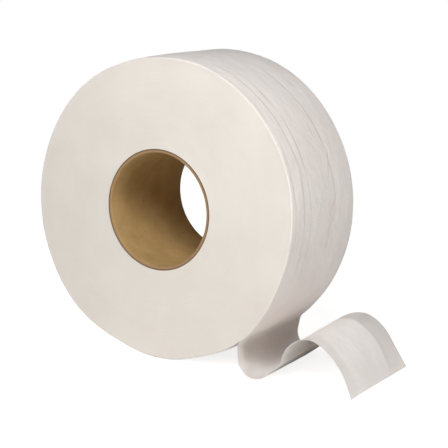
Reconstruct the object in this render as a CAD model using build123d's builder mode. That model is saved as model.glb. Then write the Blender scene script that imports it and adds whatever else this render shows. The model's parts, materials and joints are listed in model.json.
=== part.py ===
from build123d import *

import os
from math import cos, radians, sin, sqrt

# A large dispenser roll of soft two-ply toilet tissue, wound on a paperboard core tube.
# It stands on its rim. Its loose end peels off low on one side, folds back where it
# meets the floor, arches over and comes down again on its cut edge.
#
# Millimetres, +Z up. The origin is the centre of the core's bore. The bore runs along Y,
# the near end face is towards -Y, and the loose end lies towards +X.

# The wound roll
roll_diameter = 229.0
web_width = 90.0
sheet_thickness = 0.3
end_corner_chamfer = 1.2
flat_spot_width = 27.0

# The core tube
bore_diameter = 86.0
core_wall = 2.6

# The turns that stand out on both end faces, as one shallow spiral line
turn_line_pitch = 18.0
turn_line_width = 0.6
turn_line_depth = 0.3
turn_line_margin = 5.0

# Creases pressed round the rim by the winding, each at its distance from the near end face
rim_crease_places = (5.5, 17.0, 26.0, 60.0)
rim_crease_width = 1.0
rim_crease_depth = 0.3

# The loose end, from the roll to its cut edge. Angles and headings are in degrees,
# counter-clockwise from +X as seen from the near end.
take_off_angle = -49.8
lap_angle = 5.0
peel_radius = 7.5
peel_heading = -90.0
leg_length = 7.0
fold_heading = 42.0
ramp_length = 15.5
kink_radius = 4.0
rise_heading = 83.0
shoulder_radius = 23.0
crown_radius = 10.0
crown_heading = -22.0
brow_radius = 46.0
end_heading = -68.0

# Worked out from the sizes above
roll_radius = roll_diameter / 2
bore_radius = bore_diameter / 2
core_radius = bore_radius + core_wall
half_width = web_width / 2
floor_z = -sqrt(roll_radius**2 - (flat_spot_width / 2) ** 2)


def on_circle(radius, angle, centre=(0.0, 0.0)):
    """The point at an angle on a circle in the plane of the winding."""
    return (
        centre[0] + radius * cos(radians(angle)),
        centre[1] + radius * sin(radians(angle)),
    )


def spiral_arcs(first_radius, first_angle, growth, turn):
    """A spiral as quarter arcs that join smoothly, listed as (centre, radius, angle, size).

    Each quarter's radius is larger by a fourth of the growth per turn, and its centre
    moves back by as much along the radius that the two quarters share.
    """
    arcs = []
    centre, radius, angle = (0.0, 0.0), first_radius, first_angle
    while turn > 0:
        size = min(90.0, turn)
        arcs.append((centre, radius, angle, size))
        angle += size
        turn -= size
        centre = on_circle(-growth / 4, angle, centre)
        radius += growth / 4
    return arcs


def draw_arcs(arcs, offset=0.0):
    """Draws spiral arcs, moved outwards by an offset, and gives the first and last point."""
    for centre, radius, angle, size in arcs:
        CenterArc(centre, radius + offset, angle, size)
    centre, radius, angle, size = arcs[-1]
    first = on_circle(arcs[0][1] + offset, arcs[0][2], arcs[0][0])
    return first, on_circle(radius + offset, angle + size, centre)


def arc_rise(radius, heading, next_heading):
    """How far an arc climbs as it turns from one heading to the next."""
    climb = radius * (cos(radians(heading)) - cos(radians(next_heading)))
    return climb if next_heading > heading else -climb


def sheet_surface(offset):
    """Draws one surface of the loose end, offset to the outside of its middle line.

    The bends are arcs joined by straight runs that are tangent to them. The fold's
    radius is the one that brings its lowest point down to the floor. A ramp leads up from
    the fold to a tight kink, where the sheet turns up into its arch, and the last run is
    as long as the way back to the floor.
    """
    middle_radius = roll_radius - sheet_thickness / 2
    first = on_circle(middle_radius + offset, take_off_angle + lap_angle)
    leaving_heading = take_off_angle - 90

    height = middle_radius * sin(radians(take_off_angle)) - floor_z - sheet_thickness / 2
    height += arc_rise(peel_radius, leaving_heading, peel_heading)
    height += leg_length * sin(radians(peel_heading))
    fold_radius = -height / arc_rise(1, peel_heading, 0)

    height = sheet_thickness / 2 + arc_rise(fold_radius, 0, fold_heading)
    height += ramp_length * sin(radians(fold_heading))
    height += arc_rise(kink_radius, fold_heading, rise_heading)
    height += arc_rise(shoulder_radius, rise_heading, 0)
    height += arc_rise(crown_radius, 0, crown_heading)
    height += arc_rise(brow_radius, crown_heading, end_heading)
    end_length = -height / sin(radians(end_heading))

    line = CenterArc((0, 0), middle_radius + offset, take_off_angle + lap_angle, -lap_angle)
    heading = leaving_heading
    bends = (
        (peel_radius, peel_heading, leg_length),
        (fold_radius, fold_heading, ramp_length),
        (kink_radius, rise_heading, 0.0),
        (shoulder_radius, 0.0, 0.0),
        (crown_radius, crown_heading, 0.0),
        (brow_radius, end_heading, end_length),
    )
    for radius, next_heading, run in bends:
        turn = next_heading - heading
        inner = offset if turn > 0 else -offset
        line = JernArc(line @ 1, line % 1, radius - inner, turn)
        if run:
            line = Line(line @ 1, (line @ 1) + (line % 1) * run)
        heading = next_heading
    return first, line @ 1


# The tissue web, wound turns and loose end in one piece
outer_turn = spiral_arcs(roll_radius, take_off_angle + lap_angle, -sheet_thickness, 360 - lap_angle)
turn_line_reach = roll_radius - end_corner_chamfer - core_radius - 2 * turn_line_margin
turn_line = spiral_arcs(
    core_radius + turn_line_margin,
    take_off_angle,
    turn_line_pitch,
    360 * turn_line_reach / turn_line_pitch,
)

with BuildPart() as tissue_web:
    # The wound body: its outer turn ends one sheet lower, under the loose end's take-off
    with BuildSketch(Plane.XZ):
        with BuildLine():
            first, last = draw_arcs(outer_turn)
            step_middle = on_circle(
                roll_radius - sheet_thickness / 2, take_off_angle + lap_angle / 2
            )
            ThreePointArc(last, step_middle, first)
        make_face()
        with Locations((0, floor_z)):
            Rectangle(roll_diameter, roll_radius, align=(Align.CENTER, Align.MAX), mode=Mode.SUBTRACT)
    extrude(amount=half_width, both=True)

    # The rim's two corners, worn off at 45 degrees
    with BuildSketch(Plane.XY):
        for end in (1, -1):
            Polygon(
                (roll_radius - 2 * end_corner_chamfer, end * (half_width + end_corner_chamfer)),
                (roll_radius + end_corner_chamfer, end * (half_width + end_corner_chamfer)),
                (roll_radius + end_corner_chamfer, end * (half_width - 2 * end_corner_chamfer)),
                align=None,
            )
    revolve(axis=Axis.Y, mode=Mode.SUBTRACT)

    # Creases round the rim
    with BuildSketch(Plane.XY):
        for place in rim_crease_places:
            with Locations((roll_radius, place - half_width)):
                Polygon(
                    (-rim_crease_depth, 0),
                    (rim_crease_depth, -rim_crease_width),
                    (rim_crease_depth, rim_crease_width),
                    align=None,
                )
    revolve(axis=Axis.Y, mode=Mode.SUBTRACT)

    # The turns' spiral line on both end faces
    for face_place, inwards in ((half_width, -turn_line_depth), (-half_width, turn_line_depth)):
        with BuildSketch(Plane.XZ.offset(face_place)):
            with BuildLine():
                start_low, end_low = draw_arcs(turn_line)
                start_high, end_high = draw_arcs(turn_line, turn_line_width)
                Line(start_low, start_high)
                Line(end_low, end_high)
            make_face()
        extrude(amount=inwards, mode=Mode.SUBTRACT)

    # The hole that the core tube fills
    with BuildSketch(Plane.XZ):
        Circle(core_radius)
    extrude(amount=half_width, both=True, mode=Mode.SUBTRACT)

    # The loose end
    with BuildSketch(Plane.XZ):
        with BuildLine():
            outer_start, outer_end = sheet_surface(sheet_thickness / 2)
            inner_start, inner_end = sheet_surface(-sheet_thickness / 2)
            Line(outer_start, inner_start)
            Line(outer_end, inner_end)
        make_face()
    extrude(amount=half_width, both=True)

tissue_web.part.label = "tissue_web"

# The core tube
with BuildPart() as core_tube:
    with BuildSketch(Plane.XZ):
        Circle(core_radius)
        Circle(bore_radius, mode=Mode.SUBTRACT)
    extrude(amount=half_width, both=True)

core_tube.part.label = "core_tube"

os.makedirs("parts", exist_ok=True)
export_step(tissue_web.part, "parts/tissue_web.step")
export_step(core_tube.part, "parts/core_tube.step")
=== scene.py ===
import json
from math import radians

import bpy
import numpy as np
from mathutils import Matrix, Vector


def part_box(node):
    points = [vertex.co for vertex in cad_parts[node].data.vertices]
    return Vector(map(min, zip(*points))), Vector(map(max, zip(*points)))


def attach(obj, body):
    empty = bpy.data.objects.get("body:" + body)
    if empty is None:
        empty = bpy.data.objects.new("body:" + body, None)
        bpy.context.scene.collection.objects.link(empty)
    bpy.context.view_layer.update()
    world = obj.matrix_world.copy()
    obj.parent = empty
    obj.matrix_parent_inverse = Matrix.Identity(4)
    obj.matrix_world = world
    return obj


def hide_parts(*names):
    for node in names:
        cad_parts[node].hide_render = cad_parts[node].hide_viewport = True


# A large dispenser roll of soft two-ply toilet tissue on a kraft board core, standing on
# its rim with its loose end peeled off, folded back on the floor and arched over.
#
# Metres, +Z up. The origin is the centre of the core's bore, which runs along Y. The near
# end face is towards -Y and the loose end lies towards +X. Angles round the roll run
# counter-clockwise from +X as seen from the near end. The lists of sizes give angles in
# degrees, and lengths in millimetres where they say so.

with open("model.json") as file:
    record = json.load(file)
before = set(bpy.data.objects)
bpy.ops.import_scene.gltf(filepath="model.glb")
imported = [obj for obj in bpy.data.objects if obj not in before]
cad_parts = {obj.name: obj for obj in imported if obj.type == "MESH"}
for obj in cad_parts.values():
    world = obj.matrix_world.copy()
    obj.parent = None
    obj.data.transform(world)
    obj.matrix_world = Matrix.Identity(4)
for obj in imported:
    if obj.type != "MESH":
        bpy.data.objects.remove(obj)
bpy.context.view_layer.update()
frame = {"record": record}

MM = 0.001
mounts = {mount["name"]: mount for mount in frame["record"]["mounts"]}
web_low, web_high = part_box("tissue_web")
_, core_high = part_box("core_tube")

# The roll, from the frame
half_width = web_high.y
web_width = 2.0 * half_width
roll_radius = web_high.z
rim_length = 2.0 * np.pi * roll_radius
floor_z = web_low.z
core_radius = core_high.z
bore_radius = mounts["core_bore"]["dims"]["r_mm"] * MM

# The web: its sheet, the line where it leaves the roll, and its rounded corners, which fade
# out over a distance round the rim towards that line
sheet_thickness = 0.3 * MM
take_off_angle = radians(-49.8)
corner_radius = 0.8 * MM
corner_fade = 12.0 * MM

# Grid of the wound roll and of the loose end
rim_columns = 420
face_rings = 28
outermost_ring = 0.4 * MM
corner_rows = 5
crease_row_spacing = 0.7 * MM
plain_row_spacing = 1.7 * MM

# How far the close rows lie to both sides of a crease, past its swing: a margin in
# millimetres and a number of its widths. Beside a bend line it is a number of its reaches.
crease_margin, crease_widths, bend_reaches = 0.5, 1.6, 2.0


def smooth_step(low, high, value):
    """0 below low, 1 above high, and 3t^2 - 2t^3 between them."""
    t = np.clip((value - low) / (high - low), 0.0, 1.0)
    return t * t * (3.0 - 2.0 * t)


def wander(turn, waves, seed):
    """A smooth line that closes on itself: a sum of cosines with the given numbers of waves
    in a full turn, seeded phases and strengths, and an rms of 1."""
    random = np.random.default_rng(seed)
    strengths = random.uniform(0.5, 1.0, len(waves))
    phases = random.uniform(0.0, 2.0 * np.pi, len(waves))
    total = sum(
        strength * np.cos(wave * turn + phase)
        for wave, strength, phase in zip(waves, strengths, phases)
    )
    return total / np.sqrt(0.5 * np.sum(strengths**2))


def angle_between(turn, other):
    """The angle between two directions, from 0 to half a turn."""
    return np.abs(np.angle(np.exp(1j * (turn - other))))


def soft_ramp(distance, width):
    """0 before a bend and the distance past it, rounded over a width: w ln(1 + e^(d/w))."""
    return width * np.logaddexp(0.0, distance / width)


def crease(distance, width):
    """A crease pressed by the winding: a step down to -1, 1.2 widths across, on the side of
    the near end face, then a slow rise back to 0 as -e^(-d / 3w)."""
    step = smooth_step(-0.6 * width, 0.6 * width, distance)
    return -step * np.exp(-np.maximum(distance, 0.0) / (3.0 * width))


def round_points(radius, turn, y):
    """Points at a radius and an angle round the roll and a place along its axis:
    (r cos t, y, r sin t), with those that would lie below the floor raised to it."""
    z = np.maximum(radius * np.sin(turn), floor_z)
    return np.stack(np.broadcast_arrays(radius * np.cos(turn), y, z), -1)


# The roll is out of round, as soft rolls are. Its radius has one, two, three and more waves
# in a turn, each with the millimetres of its cosine and of its sine, at either end. These
# numbers weren't chosen: a least-squares fit to the photograph's outline gave them.
near_end_waves = (
    (0.17, -0.04),
    (1.33, 1.24),
    (-0.33, -0.43),
    (-1.01, 0.34),
    (0.14, 0.65),
    (0.38, 0.26),
)
far_end_waves = ((1.33, 0.61), (-0.05, 0.15), (-0.13, -0.01))

# The angles from the lowest point, and from the line where the web leaves, between which
# the roll goes from true to out of round
out_of_round_from_floor = (5.0, 35.0)
out_of_round_from_take_off = (0.0, 18.0)


def waves_round(turn, waves):
    """The sum of the waves of a list at each angle, in metres."""
    total = np.zeros_like(turn)
    for number, (cosine, sine) in enumerate(waves, 1):
        total = total + cosine * np.cos(number * turn) + sine * np.sin(number * turn)
    return total * MM


def out_of_round(turn, across):
    """How far the rim stands out from a true roll: the waves of both ends, mixed by the
    share of the width, faded out towards the floor and towards the take-off."""
    near, far = waves_round(turn, near_end_waves), waves_round(turn, far_end_waves)
    lowest, take_off = angle_between(turn, -np.pi / 2), angle_between(turn, take_off_angle)
    fade = smooth_step(*np.radians(out_of_round_from_floor), lowest)
    fade = fade * smooth_step(*np.radians(out_of_round_from_take_off), take_off)
    return (near + (far - near) * across) * fade


# Creases that run round the rim: distance from the near end face, how far they swing to
# both sides of it, the angle where they are strongest and cross it, depth and width in
# millimetres, and the seed of their unevenness
ring_creases = (
    (4.4, 0.2, 36.0, 0.44, 1.8, 11),
    (15.3, 1.5, 38.0, 0.50, 2.3, 12),
    (24.3, 1.4, 23.0, 0.42, 2.3, 13),
    (58.4, 2.4, 50.0, 0.52, 2.5, 14),
)

# How far such a crease wanders off its swing, in millimetres. Its strength: the mean, how
# much it changes in half a turn, how uneven it is, and its limits
crease_wander = 0.25
crease_mean, crease_change, crease_unevenness = 0.65, 0.4, 0.35
crease_limits = (0.1, 1.4)

# Short wrinkles that cross them: the angle and distance from the near end face at both
# ends, then depth and width in millimetres
short_wrinkles = (
    (23.0, 62.0, 14.0, 54.0, 0.66, 1.9),
    (6.5, 62.5, 1.0, 52.0, 0.74, 1.8),
    (0.5, 61.0, -5.5, 52.0, 0.74, 1.8),
    (-6.0, 59.5, -10.5, 52.0, 0.66, 1.8),
    (-20.5, 63.0, -18.0, 53.0, 0.30, 1.4),
    (-6.0, 20.0, -14.5, 8.0, 0.36, 1.3),
    (14.5, 5.0, 7.5, 5.6, 0.36, 1.0),
    (128.0, 70.0, 121.0, 61.0, 0.38, 1.3),
    (146.0, 30.0, 152.0, 41.0, 0.40, 1.3),
    (201.0, 66.0, 208.0, 57.0, 0.40, 1.3),
    (233.0, 22.0, 241.0, 31.0, 0.38, 1.2),
)

# Where a wrinkle fades in at either end, in shares of its length
wrinkle_taper = (-0.25, 0.3)

# Slow unevenness of the winding: depth in millimetres, waves in a turn, how many radians
# they lean in a metre across the web, and seed
slow_waves = ((0.10, (3, 5, 8), 14.0, 31), (0.04, (9, 14), -30.0, 32))

# Soft shoulders of the rim: how far the web gives way at the near and at the far end, and
# over what width
shoulders = ((1.1 * MM, 8.0 * MM), (0.6 * MM, 12.0 * MM))

# The angles from the line where the web leaves between which the relief fades in
relief_from_take_off = (2.0, 14.0)


def ring_crease(turn, from_near, place, swing, middle, depth, width, seed):
    """One crease round the rim. Its line swings as the sine of twice the angle from its
    middle and wanders a little. Its strength is the mean, plus the change times the cosine
    of twice that angle, plus the unevenness times a wandering line, within the limits."""
    around = 2.0 * (turn - radians(middle))
    line = place - swing * np.sin(around) + crease_wander * wander(turn, (5, 9, 14), seed)
    uneven = crease_unevenness * wander(turn, (11, 17, 26), seed + 20)
    strength = np.clip(crease_mean + crease_change * np.cos(around) + uneven, *crease_limits)
    return depth * MM * strength * crease(from_near - line * MM, width * MM)


def short_wrinkle(turn, from_near, angle_a, place_a, angle_b, place_b, depth, width):
    """One wrinkle from point a to point b of the rim: a crease in v, the distance to the
    side of the line from a to b, tapered by u, the distance along that line."""
    start = np.array([radians(angle_a) * roll_radius, place_a * MM])
    along = np.array([radians(angle_b) * roll_radius, place_b * MM]) - start
    length = np.hypot(*along)
    around = np.angle(np.exp(1j * (turn - radians(angle_a)))) * roll_radius
    u = (around * along[0] + (from_near - start[1]) * along[1]) / length
    v = (around * along[1] - (from_near - start[1]) * along[0]) / length
    taper = smooth_step(*wrinkle_taper, u / length)
    taper = taper * smooth_step(*wrinkle_taper, 1.0 - u / length)
    return depth * MM * taper * crease(v, width * MM)


def rim_relief(turn, y):
    """How far the rim stands out from its spiral, in metres: the sum of the creases round
    it, the short wrinkles, the slow unevenness of the winding and its shoulders, which sink
    by drop times e^(-distance from the end / width). It fades out where the web leaves."""
    from_near = y + half_width
    relief = np.zeros(np.broadcast(turn, y).shape)
    for sizes in ring_creases:
        relief += ring_crease(turn, from_near, *sizes)
    for sizes in short_wrinkles:
        relief += short_wrinkle(turn, from_near, *sizes)
    relief += MM * sum(
        depth * wander(turn + lean * y, waves, seed) for depth, waves, lean, seed in slow_waves
    )
    for from_end, (drop, width) in zip((from_near, web_width - from_near), shoulders):
        relief -= drop * np.exp(-from_end / width)
    away = angle_between(turn, take_off_angle)
    return relief * smooth_step(*np.radians(relief_from_take_off), away)


# The loose end, as bends (radius in millimetres, heading they end at) and straight runs
# (length in millimetres), at the near and at the far edge. The fold's radius is 0 here,
# because it is worked out from the floor, and so is the length of the last run. These
# sizes are from a least-squares fit to both edges in the photograph, rounded to a tenth.
loose_end_near = (
    (7.7, -85.0),
    (7.5,),
    (0.0, 42.1),
    (16.5,),
    (3.7, 82.8),
    (22.8, 0.0),
    (8.7, -21.6),
    (46.4, -67.9),
    (0.0,),
)
loose_end_far = (
    (6.5, -101.6),
    (8.3,),
    (0.0, 42.3),
    (9.0,),
    (3.3, 82.3),
    (28.7, 0.0),
    (17.9, -19.2),
    (33.3, -56.4),
    (0.0,),
)
loose_end_steps = (8, 3, 22, 5, 7, 15, 7, 18, 5)

# Lines along the loose end, where its near lip and its far band bend: distance from the near
# end face and how far they reach, in millimetres, and the change of slope there
loose_end_bends = ((11.5, 0.9, 0.10), (27.0, 3.0, 0.03), (64.0, 1.4, -0.09))
near_lip_slope = -0.09

# The far edge's part in the sheet at the far band's bend line, and the share of the width
# over which it starts to grow faster there
far_part_at_band = 0.45
far_part_softness = 0.012

# Shallow ripples of the loose end: height in millimetres, waves across it and along it, and
# phase in radians
sheet_ripples = ((0.16, 1.6, 0.9, 0.6), (0.07, 4.3, -2.2, 2.0))

# The shares of the loose end's length between which its relief grows, from the fold to the
# crown, and loses some of its height again towards the cut edge
relief_grows = (0.38, 0.62)
relief_falls = (0.72, 1.0)
relief_lost = 0.6


def climb(radius, heading, next_heading):
    """How far a bend climbs: its radius times the change of the heading's cosine."""
    rise = radius * (np.cos(heading) - np.cos(next_heading))
    return np.where(next_heading > heading, rise, -rise)


def far_part(across):
    """The far edge's part in each share of the width: it grows slowly as far as the far
    band's bend line, and then fast, with a soft ramp between the two slopes."""
    band = loose_end_bends[-1][0] * MM / web_width
    slow = far_part_at_band / band
    fast = (1.0 - far_part_at_band) / (1.0 - band)
    return slow * across + (fast - slow) * soft_ramp(across - band, far_part_softness)


def loose_end_path(across):
    """The loose end's middle line for each share of the width: its points and headings.

    The two edges' lists are mixed by the far edge's part and walked piece by piece. A bend
    of radius r moves by r(sin h - sin h0, cos h0 - cos h) as the heading goes from h0 to h,
    and a run by its length times (cos h, sin h).
    """
    part = far_part(across)
    middle_radius = roll_radius - sheet_thickness / 2
    heading = np.full(across.shape, take_off_angle - np.pi / 2)
    x = middle_radius * np.cos(take_off_angle) + np.zeros_like(across)
    z = middle_radius * np.sin(take_off_angle) + np.zeros_like(across)
    rest_height = floor_z + sheet_thickness / 2
    xs, zs, headings = [x[None]], [z[None]], [heading[None]]
    for near, far, steps in zip(loose_end_near, loose_end_far, loose_end_steps):
        t = np.linspace(0.0, 1.0, steps + 1)[1:, None]
        size = (near[0] + (far[0] - near[0]) * part) * MM
        from_floor = near[0] == 0.0
        is_bend = len(near) == 2
        if is_bend:
            next_heading = np.radians(near[1] + (far[1] - near[1]) * part)
            if from_floor:
                size = (rest_height - z) / climb(1.0, heading, np.zeros_like(heading))
            bend = np.sign(next_heading - heading) * size
            h = heading + (next_heading - heading) * t
            step_x = bend * (np.sin(h) - np.sin(heading))
            step_z = bend * (np.cos(heading) - np.cos(h))
            heading = next_heading
        else:
            if from_floor:
                size = (rest_height - z) / np.sin(heading)
            h = np.broadcast_to(heading, (steps, across.size))
            step_x = size * t * np.cos(heading)
            step_z = size * t * np.sin(heading)
        xs.append(x + step_x)
        zs.append(z + step_z)
        headings.append(h)
        x, z = xs[-1][-1], zs[-1][-1]
    return np.concatenate(xs), np.concatenate(zs), np.concatenate(headings)


def sheet_relief(along, across):
    """How far the loose sheet stands off its path. Across it, slopes change at the bend
    lines: a near lip turned up, a slow rise, and a far band that falls back to the path.
    Ripples, h sin(2 pi (a across + b along) + phase), lie over them. All of it grows from
    the fold to the crown and is weaker again at the cut edge."""
    from_near = across * web_width
    height = near_lip_slope * from_near
    for place, reach, slope in loose_end_bends:
        height = height + slope * soft_ramp(from_near - place * MM, reach * MM)
    ripples = sum(
        depth * MM * np.sin(2.0 * np.pi * (waves_across * across + waves_along * along) + phase)
        for depth, waves_across, waves_along, phase in sheet_ripples
    )
    grown = smooth_step(*relief_grows, along)
    grown = grown * (1.0 - relief_lost * smooth_step(*relief_falls, along))
    return (height + ripples) * grown


# The core is out of round too: the shares of its radius of the cosine and of the sine of two
# waves in a turn, at the near end. The least-squares fit that gave the camera gave both.
core_waves = (0.0056, 0.0066)

# An end face: how many turns stand lower than the rest, how unevenly they are spaced and
# how deep they are in millimetres
sunk_rings = 5.0
sunk_rings_drift = 0.8
sunk_ring_depth = 0.10

# Its slow waves: their depth in millimetres, the share of it that changes round the face, and
# how many radians they lean from the core to the rim. Then the share of the face's width
# over which all its relief fades out at the core and at the rim
face_wave_depth = 0.16
face_wave_change = 0.25
face_wave_lean = 3.0
face_relief_fade = 0.06


def core_roundness(turn, across):
    """How far the core is from true: two waves in a turn at the near end, fading away
    towards the far end."""
    cosine, sine = core_waves
    return 1.0 + (cosine * np.cos(2.0 * turn) + sine * np.sin(2.0 * turn)) * (1.0 - across)


def face_relief(turn, share):
    """How far an end face is sunk below its plane: a few turns that stand lower all the way
    round, as half of 1 - cos of the share of the face's width, and slow waves. Both fade
    out at the core and at the rim."""
    rings = sunk_rings * share + sunk_rings_drift * np.sin(2.0 * share)
    rings = 0.5 - 0.5 * np.cos(2.0 * np.pi * rings)
    waves = 0.5 + face_wave_change * wander(turn + face_wave_lean * share, (2, 3, 5), 41)
    fade = smooth_step(0.0, face_relief_fade, share)
    fade = fade * smooth_step(0.0, face_relief_fade, 1.0 - share)
    return (sunk_ring_depth * rings + face_wave_depth * waves) * MM * fade


def row_places():
    """Where the rows lie across the web, from the near to the far edge, and how much lower
    each is for the rounded corners.

    A corner's rows are at angles t from 0 to 90 degrees: r (1 - cos t) from the edge and
    r (1 - sin t) lower. The others are close together along the creases and the loose end's
    bend lines, and wider apart between them.
    """
    t = np.linspace(0.0, np.pi / 2, corner_rows + 1)
    corner = corner_radius * (1.0 - np.cos(t))
    corner_drops = corner_radius * (1.0 - np.sin(t))
    fine_zones = [
        (place, swing + crease_margin + crease_widths * width)
        for place, swing, _, _, width, _ in ring_creases
    ]
    fine_zones += [(place, bend_reaches * reach) for place, reach, _ in loose_end_bends]
    stops = []
    for place, reach in sorted(fine_zones):
        stops.append(((place - reach) * MM, plain_row_spacing))
        stops.append(((place + reach) * MM, crease_row_spacing))
    stops.append((web_width - corner_radius, plain_row_spacing))
    places, edge = [corner], corner_radius
    for stop, spacing in stops:
        if stop > edge:
            steps = int(np.ceil((stop - edge) / spacing))
            places.append(np.linspace(edge, stop, steps + 1)[1:])
            edge = stop
    places.append(web_width - corner[::-1][1:])
    drops = np.zeros(sum(len(part) for part in places))
    drops[: corner_rows + 1] = corner_drops
    drops[-corner_rows - 1 :] = corner_drops[::-1]
    return np.concatenate(places) - half_width, drops


def grid_faces(numbers):
    """One four-cornered face for each cell of a grid of point numbers."""
    corners = (numbers[:-1, :-1], numbers[1:, :-1], numbers[1:, 1:], numbers[:-1, 1:])
    return np.stack(corners, -1).reshape(-1, 4)


def new_piece(name, points, uv, faces, smooth, material_of_face, materials):
    """A mesh object at the origin from an array of points, a map that holds two numbers for
    each point, and a list of faces, with its smooth faces and its materials. The edges of
    the flat faces are sharp, so that they don't tilt the shading of those beside them."""
    mesh = bpy.data.meshes.new(name)
    mesh.from_pydata(points.tolist(), [], faces)
    for material in materials:
        mesh.materials.append(material)
    mesh.polygons.foreach_set("material_index", material_of_face.astype(np.int32))
    mesh.polygons.foreach_set("use_smooth", smooth)
    edge_of_corner, point_of_corner = np.zeros((2, len(mesh.loops)), np.int32)
    mesh.loops.foreach_get("edge_index", edge_of_corner)
    mesh.loops.foreach_get("vertex_index", point_of_corner)
    of_flat_face = np.repeat(~smooth, [len(face) for face in faces])
    sharp = np.zeros(len(mesh.edges), bool)
    sharp[edge_of_corner[of_flat_face]] = True
    mesh.edges.foreach_set("use_edge_sharp", sharp)
    layer = mesh.uv_layers.new(name="unrolled")
    layer.data.foreach_set("uv", uv[point_of_corner].astype(np.float32).ravel())
    mesh.update()
    piece = bpy.data.objects.new(name, mesh)
    bpy.context.scene.collection.objects.link(piece)
    return piece


def wound_rim(y, drops):
    """The rim's angles, its points, as a grid of columns round the roll and rows across it,
    and its map. The columns start under the line where the web leaves, one sheet lower, and
    run back round the roll to that line. The radius is the roll's, less the sheet's
    thickness times the share of the turn that is left, plus the relief, less the drops."""
    across = (y + half_width) / web_width
    wound = np.linspace(0.0, 1.0, rim_columns + 1)[:, None]
    turn = take_off_angle - 2.0 * np.pi * wound
    corner = smooth_step(0.0, corner_fade, np.minimum(wound, 1.0 - wound) * rim_length)
    radius = roll_radius - sheet_thickness * (1.0 - wound) + out_of_round(turn, across)
    radius = radius + rim_relief(turn, y[None]) - drops * corner
    unrolled = np.stack(np.broadcast_arrays(wound * rim_length, y), -1)
    return turn, round_points(radius, turn, y), unrolled


def end_face(edge, turn, side):
    """The rings of an end face, from the hole's wall to just inside the rim's edge. A
    ring's radius is the hole's plus its share of the way to the edge."""
    edge_radius = np.hypot(edge[:, 0], edge[:, 2])[:, None]
    ring_share = 1.0 - outermost_ring / (roll_radius - core_radius)
    share = np.linspace(0.0, ring_share, face_rings - 1)[None]
    hole_radius = core_radius * core_roundness(turn, 0.5 + 0.5 * side)
    radius = hole_radius + (edge_radius - hole_radius) * share
    return round_points(radius, turn, side * (half_width - face_relief(turn, share)))


def loose_end_surface(y, side):
    """The outer (side 1) or inner (side -1) surface of the loose end, as a grid of columns
    along it and rows across it, and its map. It is the path moved along its normal,
    (-sin h, cos h), by the relief and half the sheet, and kept above the floor."""
    across = (y + half_width) / web_width
    xs, zs, headings = loose_end_path(across)
    lengths = np.hypot(np.diff(xs, axis=0), np.diff(zs, axis=0)).cumsum(0)
    lengths = np.concatenate([np.zeros((1, len(y))), lengths])
    off = sheet_relief(lengths / lengths[-1], across) + side * sheet_thickness / 2
    lowest, start = (floor_z + sheet_thickness, rim_length) if side > 0 else (floor_z, 0.0)
    x = xs - off * np.sin(headings)
    z = np.maximum(zs + off * np.cos(headings), lowest)
    surface = np.stack(np.broadcast_arrays(x, y, z), -1)
    unrolled = np.stack(np.broadcast_arrays(start + side * lengths, y), -1)
    return surface, unrolled


def make_web(materials):
    """The whole web as one closed skin: the rim, both end faces, the wall of the hole, and
    both surfaces and all edges of the loose end.

    The rim runs on into the loose end's outer surface, and its first column is where the
    inner surface starts, so the first columns of both surfaces are the rim's. Each end
    face is a grid of rings between the hole and the rim's edge. Its last cell has a fifth
    corner, at the step of one sheet where the web leaves.
    """
    y, drops = row_places()
    turn, rim, rim_map = wound_rim(y, drops)
    points, maps = [], []

    def add(grid, grid_map):
        """Adds a grid of points with its map, and gives the grid of their numbers."""
        first = sum(len(part) for part in points)
        points.append(grid.reshape(-1, 3))
        maps.append(grid_map.reshape(-1, 2))
        return first + np.arange(len(points[-1])).reshape(grid.shape[:2])

    rim_ids = add(rim, rim_map)
    outer, outer_map = loose_end_surface(y, 1.0)
    inner, inner_map = loose_end_surface(y, -1.0)
    outer_ids = np.concatenate([rim_ids[-1:], add(outer[1:], outer_map[1:])])
    inner_ids = np.concatenate([rim_ids[:1], add(inner[1:], inner_map[1:])])
    skin = [grid_faces(rim_ids), grid_faces(outer_ids), grid_faces(inner_ids)[:, ::-1]]

    end_faces, last_cells, hole_rings = [], [], []
    for row, side in ((0, -1.0), (-1, 1.0)):
        rings = end_face(rim[:-1, row], turn[:-1], side)
        ids = add(rings, np.zeros((*rings.shape[:2], 2)))
        ids = np.concatenate([ids, ids[:1]])
        hole_rings.append(ids[:, 0])
        ids = np.concatenate([ids, rim_ids[:, row, None]], 1)
        cells = grid_faces(ids)[:-1]
        last = np.array([ids[-2, -2], ids[-1, -2], rim_ids[0, row], ids[-1, -1], ids[-2, -1]])
        end_faces.append(cells if side < 0 else cells[:, ::-1])
        last_cells.append(last if side < 0 else last[::-1])

    edges = [
        grid_faces(np.stack(hole_rings, 1))[:, ::-1],
        grid_faces(np.stack([outer_ids[-1], inner_ids[-1]])),
        grid_faces(np.stack([inner_ids[:, 0], outer_ids[:, 0]], 1)),
        grid_faces(np.stack([outer_ids[:, -1], inner_ids[:, -1]], 1)),
    ]
    faces = np.concatenate(skin + edges + end_faces).tolist() + [c.tolist() for c in last_cells]
    number = np.arange(len(faces))
    skin_count, edge_count = (sum(len(part) for part in parts) for parts in (skin, edges))
    is_end_face = number >= skin_count + edge_count
    is_edge = (number >= skin_count) & ~is_end_face
    return new_piece(
        "tissue_web_paper",
        np.concatenate(points),
        np.concatenate(maps),
        faces,
        ~is_edge,
        is_end_face,
        materials,
    )


# The core tube: its grid and the rounding of its rims
core_columns = 260
core_rows = 46
core_corner_points = 4
inner_edge_radius = 0.35 * MM
outer_edge_radius = 0.12 * MM

# The bore's slow waves: their depth in millimetres, and how many radians they lean in a
# metre along the axis. Then how far the rims fray and stand back, in millimetres
bore_wave_depth = 0.08
bore_wave_lean = 9.0
fray_depth = 0.05
fray_set_back = 0.02


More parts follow.
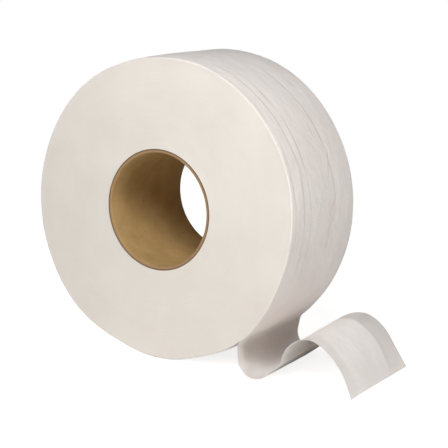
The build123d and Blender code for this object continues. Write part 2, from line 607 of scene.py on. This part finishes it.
def core_section():
    """The tube's section as a closed line: the radius and the place along the axis of its
    points. It runs along the bore to the near end, round two corners, back along the outer
    wall and round the far two corners. A corner is a quarter circle, (r cos t, r sin t).
    Where two parts share a point, only the first has it."""
    t = np.linspace(0.0, np.pi / 2, core_corner_points)
    sine, cosine = np.sin(t), np.cos(t)
    wall = np.linspace(-1.0, 1.0, core_rows)
    inner, inner_end = bore_radius + inner_edge_radius, half_width - inner_edge_radius
    outer, outer_end = core_radius - outer_edge_radius, half_width - outer_edge_radius
    parts = [
        (np.full(core_rows, bore_radius), -inner_end * wall),
        (inner - inner_edge_radius * cosine[1:], -inner_end - inner_edge_radius * sine[1:]),
        (outer + outer_edge_radius * sine, -outer_end - outer_edge_radius * cosine),
        (np.full(core_rows - 1, core_radius), outer_end * wall[1:]),
        (outer + outer_edge_radius * cosine[1:], outer_end + outer_edge_radius * sine[1:]),
        (inner - inner_edge_radius * sine[:-1], inner_end + inner_edge_radius * cosine[:-1]),
    ]
    radius, y = (np.concatenate(part)[None] for part in zip(*parts))
    return radius, y


def make_core(materials):
    """The core tube as one closed skin: its section carried round the axis. The radius
    follows the tube's roundness, the bore has slow shallow waves, and the rims are a little
    uneven, as sawn board is."""
    radius, y = core_section()
    turn = np.linspace(0.0, 2.0 * np.pi, core_columns, endpoint=False)[:, None]
    in_bore = radius < bore_radius + inner_edge_radius
    waves = wander(turn + bore_wave_lean * y, (2, 3, 5), 51) * bore_wave_depth * MM * in_bore
    beyond_wall = np.abs(y) > half_width - inner_edge_radius
    fray = (wander(turn, (7, 13, 22, 37), 52) * fray_depth - fray_set_back) * MM * beyond_wall
    round_radius = radius * core_roundness(turn, (y + half_width) / web_width) + waves
    points = round_points(round_radius, turn, y + np.sign(y) * fray)
    ids = np.arange(points.shape[0] * points.shape[1]).reshape(points.shape[:2])
    ids = np.concatenate([ids, ids[:1]])
    ids = np.concatenate([ids, ids[:, :1]], 1)
    faces = grid_faces(ids)[:, ::-1]
    is_rim = np.broadcast_to(beyond_wall, points.shape[:2]).reshape(-1)[faces].all(1)
    section_map = np.broadcast_to(np.stack([radius, y], -1), (*points.shape[:2], 2))
    return new_piece(
        "core_tube_board",
        points.reshape(-1, 3),
        section_map.reshape(-1, 2),
        faces.tolist(),
        np.ones(len(faces), bool),
        is_rim,
        materials,
    )


def colour(code):
    """An sRGB hex value such as "F0EBE4" as the linear colour that the shader takes."""
    srgb = np.array([int(code[i : i + 2], 16) for i in (0, 2, 4)]) / 255.0
    linear = np.where(srgb <= 0.04045, srgb / 12.92, ((srgb + 0.055) / 1.055) ** 2.4)
    return (*linear.tolist(), 1.0)


def add_node(tree, kind, inputs=None, **settings):
    """Adds a node to a material's tree, sets its properties, and gives each named or
    numbered input a value or a link from another node's output."""
    made = tree.nodes.new(kind)
    for name, value in settings.items():
        setattr(made, name, value)
    for name, value in (inputs or {}).items():
        if isinstance(value, bpy.types.NodeSocket):
            tree.links.new(value, made.inputs[name])
        else:
            made.inputs[name].default_value = value
    return made


def new_material(name):
    """An empty node material."""
    material = bpy.data.materials.new(name)
    material.use_nodes = True
    material.node_tree.nodes.clear()
    return material


# Creped tissue: length and width of its ridges and of its puckers along and across the web,
# how high they are, how far apart its clouds of tone are, and both tones with their places
# on the ramp
ridge_size, ridge_height = (1.1 * MM, 7.0 * MM), 0.06 * MM
pucker_size, pucker_height = (9.0 * MM, 7.0 * MM), 0.45 * MM
tissue_cloud_size = 38.0 * MM
tissue_tones = ((0.32, "EBE2DD"), (0.68, "F1EAE5"))

# Bends of the loose end too slight to show in its outline, which are bump: distance from the
# near end face in millimetres, and the change of slope there. They come in between two
# distances past the line where the web leaves, and fade to a half between the next two.
slight_bends = ((0.0, -0.06), (11.5, 0.13), (64.0, -0.21))
slight_bends_come = (55.0 * MM, 85.0 * MM)
slight_bends_fade = (105.0 * MM, 146.0 * MM)


def slightly_bent(tree, web):
    """The normal of the tissue with the slight bends on the arch. Their height is a sum of
    straight ramps that start at the bend lines, used as bump. Its strength is 1 on the
    arch, a half at the cut edge and 0 before the arch."""
    on_web = add_node(tree, "ShaderNodeSeparateXYZ", {"Vector": web.outputs["UV"]})
    height = 0.0
    for distance, slope in slight_bends:
        start = distance * MM - half_width
        ramp = add_node(
            tree,
            "ShaderNodeMapRange",
            {
                "Value": on_web.outputs["Y"],
                "From Min": start,
                "From Max": half_width,
                "To Max": slope * (half_width - start),
            },
        )
        total = add_node(
            tree, "ShaderNodeMath", {0: height, 1: ramp.outputs["Result"]}, operation="ADD"
        )
        height = total.outputs["Value"]
    on_arch, near_cut = (
        add_node(
            tree,
            "ShaderNodeMapRange",
            {
                "Value": on_web.outputs["X"],
                "From Min": rim_length + first,
                "From Max": rim_length + last,
                "To Min": before,
                "To Max": after,
            },
        )
        for (first, last), before, after in (
            (slight_bends_come, 0.0, 1.0),
            (slight_bends_fade, 1.0, 0.5),
        )
    )
    share = add_node(
        tree,
        "ShaderNodeMath",
        {0: on_arch.outputs["Result"], 1: near_cut.outputs["Result"]},
        operation="MULTIPLY",
    )
    bent = add_node(
        tree,
        "ShaderNodeBump",
        {"Height": height, "Strength": share.outputs["Value"], "Distance": 1.0},
    )
    return bent.outputs["Normal"]


def creped_tissue():
    """Two-ply bath tissue, scraped off a hot drum by a blade. That crepes it into fine
    ridges across the web, which makes it matt, soft and a little uneven in tone.

    The real ridges are 0.3 mm apart. They are drawn 1.1 mm apart and 7 mm long, as coarse
    as the view needs to show them at all. Soft puckers about 8 mm across lie under them,
    and so do the slight bends on the arch of the loose end, weaker towards the cut edge.
    """
    material = new_material("creped_bath_tissue")
    tree = material.node_tree
    web = add_node(tree, "ShaderNodeUVMap", uv_map="unrolled")
    in_ridges, in_puckers = (
        add_node(
            tree,
            "ShaderNodeMapping",
            {"Vector": web.outputs["UV"], "Scale": (1 / along, 1 / across, 1.0)},
        )
        for along, across in (ridge_size, pucker_size)
    )
    ridges = add_node(
        tree,
        "ShaderNodeTexNoise",
        {"Vector": in_ridges.outputs["Vector"], "Scale": 1.0, "Detail": 2.0, "Roughness": 0.55},
    )
    puckers = add_node(
        tree,
        "ShaderNodeTexNoise",
        {
            "Vector": in_puckers.outputs["Vector"],
            "Scale": 1.0,
            "Detail": 2.0,
            "Distortion": 0.6,
        },
    )
    puckered = add_node(
        tree,
        "ShaderNodeMath",
        {0: puckers.outputs["Fac"], 1: pucker_height},
        operation="MULTIPLY",
    )
    creped = add_node(
        tree,
        "ShaderNodeMath",
        {0: ridges.outputs["Fac"], 1: ridge_height, 2: puckered.outputs["Value"]},
        operation="MULTIPLY_ADD",
    )
    place = add_node(tree, "ShaderNodeTexCoord")
    cloud = add_node(
        tree,
        "ShaderNodeTexNoise",
        {
            "Vector": place.outputs["Object"],
            "Scale": 1 / tissue_cloud_size,
            "Detail": 3.0,
            "Roughness": 0.6,
        },
    )
    tone = add_node(tree, "ShaderNodeValToRGB", {"Fac": cloud.outputs["Fac"]})
    for stop, (position, code) in zip(tone.color_ramp.elements, tissue_tones):
        stop.position, stop.color = position, colour(code)
    relief = add_node(
        tree,
        "ShaderNodeBump",
        {
            "Height": creped.outputs["Value"],
            "Strength": 1.0,
            "Distance": 1.0,
            "Normal": slightly_bent(tree, web),
        },
    )
    paper = add_node(
        tree,
        "ShaderNodeBsdfPrincipled",
        {
            "Base Color": tone.outputs["Color"],
            "Roughness": 0.95,
            "Specular IOR Level": 0.15,
            "Subsurface Weight": 1.0,
            "Subsurface Radius": (1.0, 1.0, 1.0),
            "Subsurface Scale": 0.6 * MM,
            "Normal": relief.outputs["Normal"],
        },
    )
    add_node(tree, "ShaderNodeOutputMaterial", {"Surface": paper.outputs["BSDF"]})
    return material


# Slit edges: how far apart the rings are, how far apart the clouds of tone are, how much of
# the tone is the rings', both tones with their places on the ramp, and the rings' height
ring_pitch = 1.3 * MM
edge_cloud_size = 45.0 * MM
ring_part_in_tone = 0.35
edge_tones = ((0.45, "ECE4DB"), (0.85, "F1EBE3"))
ring_height = 0.15 * MM


def cut_tissue_edges():
    """The end faces: the edges of some six hundred turns, slit by a round blade and packed
    side by side. They read as a soft plane with faint rings.

    The real turns are about 0.11 mm apart. They are drawn as uneven rings about 1.3 mm
    apart, as coarse as the view needs to show them at all. The rings are one spiral: the
    pattern runs over the radius less the pitch times the share of the turn.
    """
    material = new_material("slit_tissue_edges")
    tree = material.node_tree
    place = add_node(tree, "ShaderNodeTexCoord")
    flat = add_node(
        tree,
        "ShaderNodeVectorMath",
        {0: place.outputs["Object"], 1: (1.0, 0.0, 1.0)},
        operation="MULTIPLY",
    )
    radius = add_node(
        tree, "ShaderNodeVectorMath", {0: flat.outputs["Vector"]}, operation="LENGTH"
    )
    parts = add_node(tree, "ShaderNodeSeparateXYZ", {"Vector": place.outputs["Object"]})
    angle = add_node(
        tree,
        "ShaderNodeMath",
        {0: parts.outputs["Z"], 1: parts.outputs["X"]},
        operation="ARCTAN2",
    )
    drift = add_node(
        tree,
        "ShaderNodeMath",
        {0: angle.outputs["Value"], 1: ring_pitch / (2 * np.pi)},
        operation="MULTIPLY",
    )
    wound = add_node(
        tree,
        "ShaderNodeMath",
        {0: radius.outputs["Value"], 1: drift.outputs["Value"]},
        operation="SUBTRACT",
    )
    rings = add_node(
        tree,
        "ShaderNodeTexNoise",
        {"W": wound.outputs["Value"], "Scale": 1 / ring_pitch, "Detail": 3.0, "Roughness": 0.7},
        noise_dimensions="1D",
    )
    cloud = add_node(
        tree,
        "ShaderNodeTexNoise",
        {
            "Vector": place.outputs["Object"],
            "Scale": 1 / edge_cloud_size,
            "Detail": 3.0,
            "Roughness": 0.55,
        },
    )
    mixed = add_node(
        tree,
        "ShaderNodeMath",
        {0: rings.outputs["Fac"], 1: ring_part_in_tone, 2: cloud.outputs["Fac"]},
        operation="MULTIPLY_ADD",
    )
    tone = add_node(tree, "ShaderNodeValToRGB", {"Fac": mixed.outputs["Value"]})
    for stop, (position, code) in zip(tone.color_ramp.elements, edge_tones):
        stop.position, stop.color = position, colour(code)
    relief = add_node(
        tree,
        "ShaderNodeBump",
        {"Height": rings.outputs["Fac"], "Strength": 0.25, "Distance": ring_height},
    )
    paper = add_node(
        tree,
        "ShaderNodeBsdfPrincipled",
        {
            "Base Color": tone.outputs["Color"],
            "Roughness": 1.0,
            "Specular IOR Level": 0.1,
            "Normal": relief.outputs["Normal"],
        },
    )
    add_node(tree, "ShaderNodeOutputMaterial", {"Surface": paper.outputs["BSDF"]})
    return material


# Kraft board: how far apart its fibres, its clouds of tone and its flecks are, how much of
# the tone is the fibres', both tones with their places on the ramp, the fibres' height, and
# a fleck's radius, where it starts to fade and ends, in shares of the distance between them
fibre_size = 1.8 * MM
board_cloud_size = 15.0 * MM
fleck_spacing = 7.0 * MM
fibre_part_in_tone = 0.45
board_tones = ((0.50, "B19362"), (0.95, "C3A270"))
fibre_height = 0.08 * MM
fleck_radii = (0.05, 0.09)
fleck_strength = 0.55


def kraft_core_board():
    """Grey-brown kraft board, wound in a spiral from glued strips. The wall is smooth and
    warm, a little cloudy, with fine fibres and a few dark flecks of bark, about a millimetre
    across."""
    material = new_material("spiral_wound_kraft_board")
    tree = material.node_tree
    place = add_node(tree, "ShaderNodeTexCoord")
    fibres = add_node(
        tree,
        "ShaderNodeTexNoise",
        {
            "Vector": place.outputs["Object"],
            "Scale": 1 / fibre_size,
            "Detail": 4.0,
            "Roughness": 0.65,
        },
    )
    cloud = add_node(
        tree,
        "ShaderNodeTexNoise",
        {"Vector": place.outputs["Object"], "Scale": 1 / board_cloud_size, "Detail": 2.0},
    )
    mixed = add_node(
        tree,
        "ShaderNodeMath",
        {0: fibres.outputs["Fac"], 1: fibre_part_in_tone, 2: cloud.outputs["Fac"]},
        operation="MULTIPLY_ADD",
    )
    tone = add_node(tree, "ShaderNodeValToRGB", {"Fac": mixed.outputs["Value"]})
    for stop, (position, code) in zip(tone.color_ramp.elements, board_tones):
        stop.position, stop.color = position, colour(code)
    flecks = add_node(
        tree,
        "ShaderNodeTexVoronoi",
        {"Vector": place.outputs["Object"], "Scale": 1 / fleck_spacing, "Randomness": 1.0},
    )
    fleck = add_node(
        tree,
        "ShaderNodeMapRange",
        {
            "Value": flecks.outputs["Distance"],
            "From Min": fleck_radii[0],
            "From Max": fleck_radii[1],
            "To Min": fleck_strength,
            "To Max": 0.0,
        },
    )
    flecked = add_node(
        tree,
        "ShaderNodeMix",
        {0: fleck.outputs["Result"], 6: tone.outputs["Color"], 7: colour("6B4F33")},
        data_type="RGBA",
    )
    relief = add_node(
        tree,
        "ShaderNodeBump",
        {"Height": fibres.outputs["Fac"], "Strength": 0.35, "Distance": fibre_height},
    )
    board = add_node(
        tree,
        "ShaderNodeBsdfPrincipled",
        {
            "Base Color": flecked.outputs[2],
            "Roughness": 0.9,
            "Specular IOR Level": 0.1,
            "Normal": relief.outputs["Normal"],
        },
    )
    add_node(tree, "ShaderNodeOutputMaterial", {"Surface": board.outputs["BSDF"]})
    return material


# Sawn rims: the thickness of a glued strip, how far it wanders and over what distance, and
# how far inside the outer wall the painted shade of the narrow gap between the core and the
# tissue starts and is fully dark
strip_thickness = 0.5 * MM
strip_wander = 0.4 * MM
strip_wander_size = 3.0 * MM
gap_shade_starts, gap_shade_full = 1.3 * MM, 0.5 * MM


def sawn_board_edge():
    """The core's sawn rims: raw board, duller than its walls, with its glued strips, 0.5 mm
    thick, showing as thin rings. The outermost strip is painted dark, as painted shade of the
    narrow gap between the core and the tissue."""
    material = new_material("sawn_kraft_board_edge")
    tree = material.node_tree
    place = add_node(tree, "ShaderNodeTexCoord")
    section = add_node(tree, "ShaderNodeUVMap", uv_map="unrolled")
    radius = add_node(tree, "ShaderNodeSeparateXYZ", {"Vector": section.outputs["UV"]})
    uneven = add_node(
        tree,
        "ShaderNodeTexNoise",
        {"Vector": place.outputs["Object"], "Scale": 1 / strip_wander_size, "Detail": 3.0},
    )
    wandering = add_node(
        tree,
        "ShaderNodeMath",
        {0: uneven.outputs["Fac"], 1: strip_wander, 2: radius.outputs["X"]},
        operation="MULTIPLY_ADD",
    )
    strips = add_node(
        tree,
        "ShaderNodeMath",
        {0: wandering.outputs["Value"], 1: strip_thickness},
        operation="PINGPONG",
    )
    tone = add_node(
        tree,
        "ShaderNodeMapRange",
        {"Value": strips.outputs["Value"], "From Max": strip_thickness},
    )
    mixed = add_node(
        tree,
        "ShaderNodeMix",
        {0: tone.outputs["Result"], 6: colour("A08060"), 7: colour("B4936E")},
        data_type="RGBA",
    )
    # Painted shade: the rim's outermost strip is darkened towards 755840 to stand for the
    # shadow in the narrow gap between the core and the tissue.
    outermost = add_node(
        tree,
        "ShaderNodeMapRange",
        {
            "Value": radius.outputs["X"],
            "From Min": core_radius - gap_shade_starts,
            "From Max": core_radius - gap_shade_full,
        },
    )
    gap_shaded = add_node(
        tree,
        "ShaderNodeMix",
        {0: outermost.outputs["Result"], 6: mixed.outputs[2], 7: colour("755840")},
        data_type="RGBA",
    )
    board = add_node(
        tree,
        "ShaderNodeBsdfPrincipled",
        {"Base Color": gap_shaded.outputs[2], "Roughness": 0.95, "Specular IOR Level": 0.15},
    )
    add_node(tree, "ShaderNodeOutputMaterial", {"Surface": board.outputs["BSDF"]})
    return material


# The floor: half its side, the distances from the roll's middle between which it fades into
# the white background, and how strongly it glows nearer to the roll, where it is seen
floor_half_side = 0.6
floor_fade = (0.30, 0.55)
floor_glow = 0.82


def seen_by_camera(tree):
    """1 where the camera sees a surface directly, in a mirror or through glass, and 0 where
    the surface would only light something."""
    path = add_node(tree, "ShaderNodeLightPath")
    mirrored = add_node(
        tree,
        "ShaderNodeMath",
        {0: path.outputs["Is Camera Ray"], 1: path.outputs["Is Glossy Ray"]},
        operation="MAXIMUM",
    )
    seen = add_node(
        tree,
        "ShaderNodeMath",
        {0: mirrored.outputs["Value"], 1: path.outputs["Is Transmission Ray"]},
        operation="MAXIMUM",
    )
    return seen.outputs["Value"]


def studio_paper():
    """Pale matt paper. Where it is seen, it glows a little near the roll, and is plain white
    farther away."""
    material = new_material("pale_studio_paper")
    tree = material.node_tree
    seen = seen_by_camera(tree)
    place = add_node(tree, "ShaderNodeTexCoord")
    away = add_node(
        tree, "ShaderNodeVectorMath", {0: place.outputs["Object"]}, operation="LENGTH"
    )
    fade = add_node(
        tree,
        "ShaderNodeMapRange",
        {
            "Value": away.outputs["Value"],
            "From Min": floor_fade[0],
            "From Max": floor_fade[1],
        },
        interpolation_type="SMOOTHSTEP",
    )
    white = add_node(tree, "ShaderNodeEmission", {"Color": colour("FFFFFF"), "Strength": seen})
    paper = add_node(tree, "ShaderNodeBsdfDiffuse", {"Color": colour("F2F1EF")})
    glow_where_seen = add_node(
        tree, "ShaderNodeMath", {0: seen, 1: floor_glow}, operation="MULTIPLY"
    )
    glow = add_node(
        tree,
        "ShaderNodeEmission",
        {"Color": colour("FFFFFF"), "Strength": glow_where_seen.outputs["Value"]},
    )
    near = add_node(
        tree, "ShaderNodeAddShader", {0: paper.outputs["BSDF"], 1: glow.outputs["Emission"]}
    )
    fade_where_seen = add_node(
        tree, "ShaderNodeMath", {0: fade.outputs["Result"], 1: seen}, operation="MULTIPLY"
    )
    both = add_node(
        tree,
        "ShaderNodeMixShader",
        {
            0: fade_where_seen.outputs["Value"],
            1: near.outputs["Shader"],
            2: white.outputs["Emission"],
        },
    )
    add_node(tree, "ShaderNodeOutputMaterial", {"Surface": both.outputs["Shader"]})
    return material


def make_stage():
    """A pale floor whose far parts fade into the white background, and a world that is
    white where it is seen and dark for everything else."""
    mesh = bpy.data.meshes.new("floor")
    corners = [
        (x * floor_half_side, y * floor_half_side, floor_z)
        for x, y in ((-1, -1), (1, -1), (1, 1), (-1, 1))
    ]
    mesh.from_pydata(corners, [], [(0, 1, 2, 3)])
    mesh.materials.append(studio_paper())
    floor = bpy.data.objects.new("floor", mesh)
    bpy.context.scene.collection.objects.link(floor)

    world = bpy.data.worlds.new("studio")
    world.use_nodes = True
    world.node_tree.nodes.clear()
    bpy.context.scene.world = world
    tree = world.node_tree
    white = add_node(
        tree,
        "ShaderNodeBackground",
        {"Color": colour("FFFFFF"), "Strength": seen_by_camera(tree)},
    )
    add_node(tree, "ShaderNodeOutputWorld", {"Surface": white.outputs["Background"]})


# Soft square lamps that point at the middle of the roll: where they stand, their side and
# their strength in watts, which started from a fit to the photograph's levels. The one at
# the back is for the sides that the photograph's view doesn't show.
lamps = (
    ("key", (0.266, -0.499, 0.566), 0.35, 4.56),
    ("right_fill", (0.989, -0.139, 0.052), 0.3, 2.64),
    ("front_fill", (0.0, -0.966, 0.259), 0.5, 1.55),
    ("back_fill", (-0.952, 0.300, 0.050), 0.3, 6.8),
)


def make_lamps():
    """The area lamps of the list above."""
    for name, place, side, power in lamps:
        data = bpy.data.lights.new(name, "AREA")
        data.size = side
        data.energy = power
        lamp = bpy.data.objects.new(name, data)
        lamp.location = place
        lamp.visible_camera = False
        lamp.rotation_euler = (-Vector(place)).to_track_quat("-Z", "Y").to_euler()
        bpy.context.scene.collection.objects.link(lamp)


# The camera that fits the outlines of both end faces and of the core
camera_place = (0.5158, -0.7466, 0.1615)
camera_turn = 33.21
camera_drop = 11.15
camera_roll = -0.586
camera_lens = 96.58
camera_sensor = 36.0


def make_camera():
    """The camera at the photograph's place: turned to the left of +Y, tipped down and held a
    little out of level."""
    data = bpy.data.cameras.new("camera")
    data.lens = camera_lens
    data.sensor_width = camera_sensor
    camera = bpy.data.objects.new("camera", data)
    camera.location = camera_place
    tilt = 90.0 - camera_drop
    camera.rotation_euler = (radians(tilt), radians(camera_roll), radians(camera_turn))
    bpy.context.scene.collection.objects.link(camera)
    bpy.context.scene.camera = camera


web = make_web([creped_tissue(), cut_tissue_edges()])
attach(web, "root")
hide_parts("tissue_web")

core = make_core([kraft_core_board(), sawn_board_edge()])
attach(core, "root")
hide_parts("core_tube")

make_stage()
make_lamps()
make_camera()
bpy.context.scene.view_settings.view_transform = "Standard"
